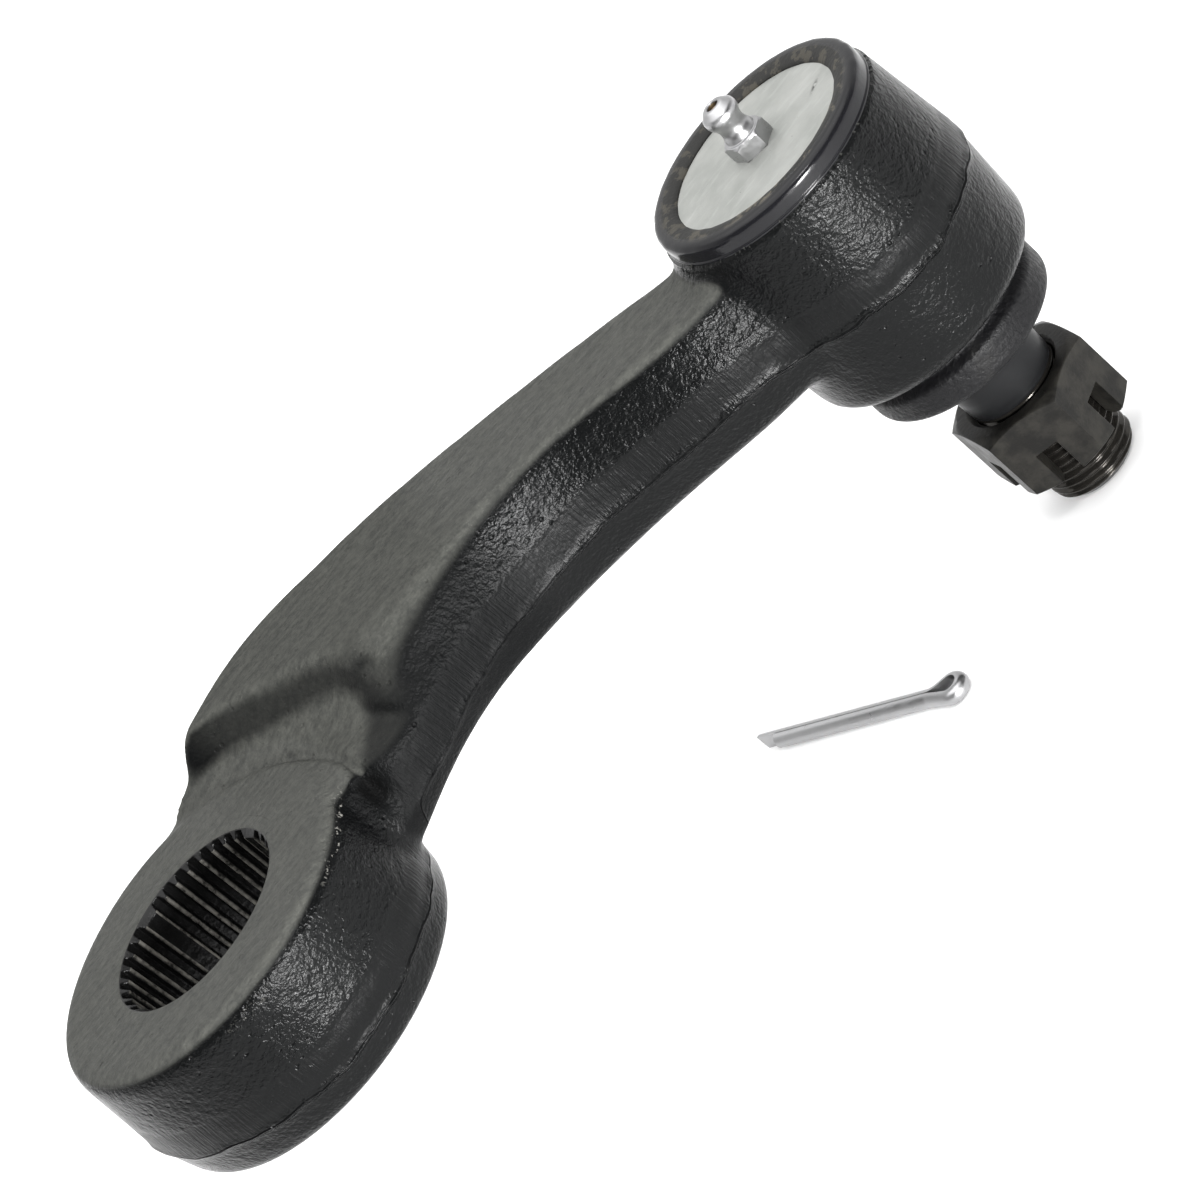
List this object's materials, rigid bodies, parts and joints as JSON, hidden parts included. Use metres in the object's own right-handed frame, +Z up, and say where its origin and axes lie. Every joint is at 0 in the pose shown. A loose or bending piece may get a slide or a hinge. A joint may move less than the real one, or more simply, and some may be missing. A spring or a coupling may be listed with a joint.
{
  "type": "pitman arm",
  "caption": "Forged steering pitman arm with a serrated tapered bore at one end and a greasable ball stud, dust boot and slotted nut at the other.",
  "frame": {"origin": "on the axis of the serrated bore, in the boss's upper face, the one on the side of the grease fitting", "axes": "+Z up the bore axis, away from the boss, to the side with the grease fitting; +X from the bore axis to the ball stud's axis; +Y completes the right-handed set, on the side the arm bows to"},
  "size_m": [0.1922, 0.0708, 0.0878],
  "materials": {
    "painted_forging": "semi-gloss black paint over a forged skin",
    "plate_steel": "matt zinc plate",
    "zinc_steel": "bright zinc plate",
    "check_ball_steel": "straw coloured hardened steel",
    "spring_steel": "oiled spring steel",
    "bearing_polymer": "greased polymer",
    "bearing_metal": "sintered bearing metal, greased",
    "stud_steel": "dark phosphated steel, satin",
    "boot_rubber": "fine pebbled rubber",
    "nut_steel": "black oxide"
  },
  "bodies": {
    "arm": {"arm_forging": "painted_forging", "closure_plate": "plate_steel", "grease_fitting": "zinc_steel", "fitting_check_spring": "spring_steel", "preload_spring": "spring_steel", "cotter_pin": "zinc_steel"},
    "bearing": {"lower_bearing": "bearing_metal", "dust_boot": "boot_rubber"},
    "stud": {"ball_stud": "stud_steel"},
    "nut": {"castle_nut": "nut_steel"},
    "seat": {"upper_seat": "bearing_polymer"},
    "check_ball": {"fitting_check_ball": "check_ball_steel"}
  },
  "joints": [
    {"name": "bearing_turn", "type": "hinge", "parent": "arm", "child": "bearing", "pos_m": [0.1397, 0, -0.012], "axis": [0, 0, 1], "continuous": true},
    {"name": "stud_swing", "type": "hinge", "parent": "bearing", "child": "stud", "pos_m": [0.1397, 0, -0.012], "axis": [0, 1, 0], "range_deg": [-18, 18], "deforming": ["dust_boot"]},
    {"name": "nut_turn", "type": "hinge", "parent": "stud", "child": "nut", "pos_m": [0.1397, 0, -0.056], "axis": [0, 0, 1], "continuous": true},
    {"name": "seat_slide", "type": "slide", "parent": "arm", "child": "seat", "axis": [0, 0, 1], "range_m": [0, 0.0006], "stiffness_N_per_m": 20000, "deforming": ["preload_spring"]},
    {"name": "check_ball_slide", "type": "slide", "parent": "arm", "child": "check_ball", "axis": [0, 0, -1], "range_m": [0, 0.001], "stiffness_N_per_m": 200, "deforming": ["fitting_check_spring"]}
  ]
}
